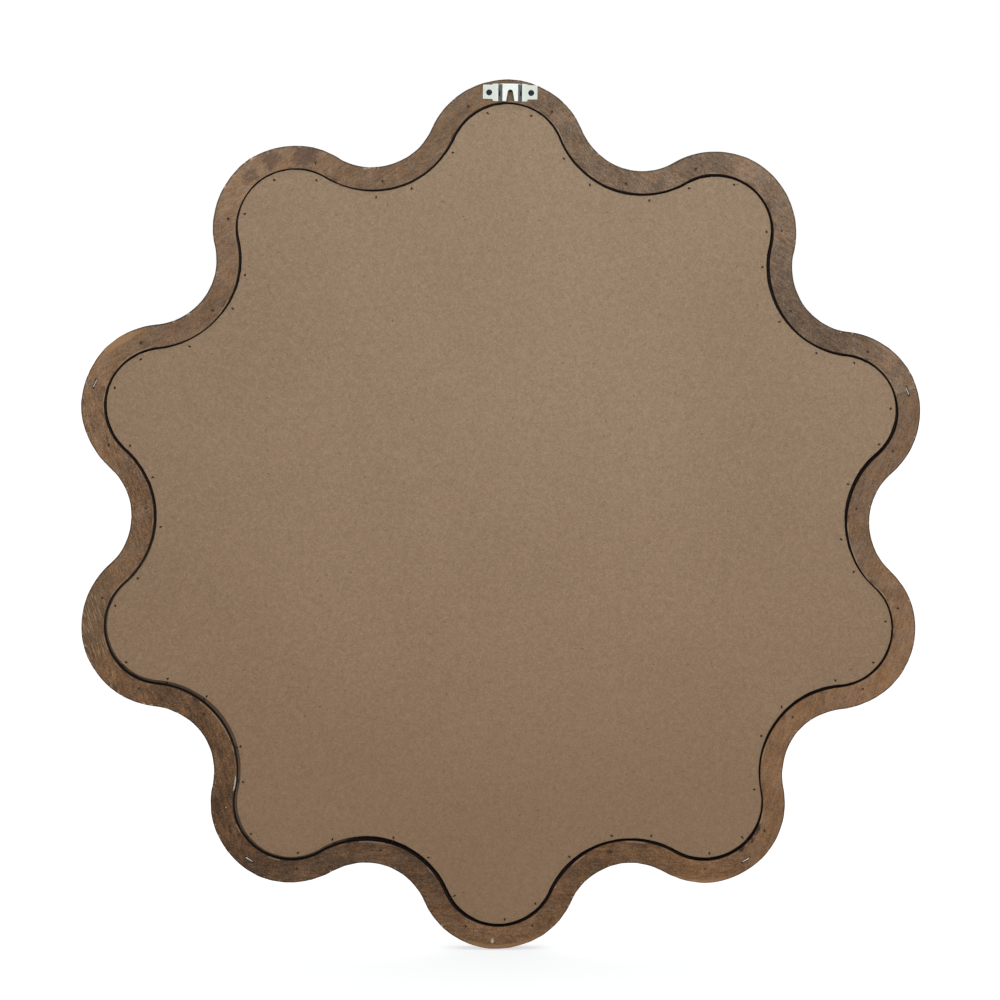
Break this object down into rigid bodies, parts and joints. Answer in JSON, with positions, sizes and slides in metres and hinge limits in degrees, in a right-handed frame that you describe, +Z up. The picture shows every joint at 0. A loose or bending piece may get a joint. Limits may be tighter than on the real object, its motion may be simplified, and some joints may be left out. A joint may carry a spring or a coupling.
{
  "type": "wooden wall mirror",
  "caption": "Round wall mirror in a scalloped wooden frame, with a pinned hardboard back and a bridged steel hanger plate whose slot hooks over a wall screw.",
  "frame": {"origin": "centre of the round top of the hanger's slot, in the plane that touches the wall", "axes": "+Z up, +Y towards the wall, so the glass faces -Y, +X to the right as seen from the front"},
  "size_m": [0.8776, 0.0297, 0.914],
  "materials": {
    "back_ring_wood": "dark stain, sanded",
    "front_ring_wood": "dark stain, satin",
    "mirror_glass": "polished, silvered",
    "hardboard": "smooth tan hardboard",
    "dark_brads": "dull dark steel",
    "bright_staples": "bright galvanised wire",
    "zinc_plate": "bright zinc",
    "black_screws": "black, satin"
  },
  "bodies": {
    "root": {"back_ring_segment_1": "back_ring_wood", "back_ring_segment_2": "back_ring_wood", "back_ring_segment_3": "back_ring_wood", "back_ring_segment_4": "back_ring_wood", "back_ring_segment_5": "back_ring_wood", "front_ring_segment_1": "front_ring_wood", "front_ring_segment_2": "front_ring_wood", "front_ring_segment_3": "front_ring_wood", "front_ring_segment_4": "front_ring_wood", "front_ring_segment_5": "front_ring_wood", "mirror_glass": "mirror_glass", "backing_board": "hardboard", "board_brads": "dark_brads", "ring_brads": "dark_brads", "joint_staples": "bright_staples", "hanger_plate": "zinc_plate", "hanger_screws": "black_screws"}
  },
  "joints": []
}
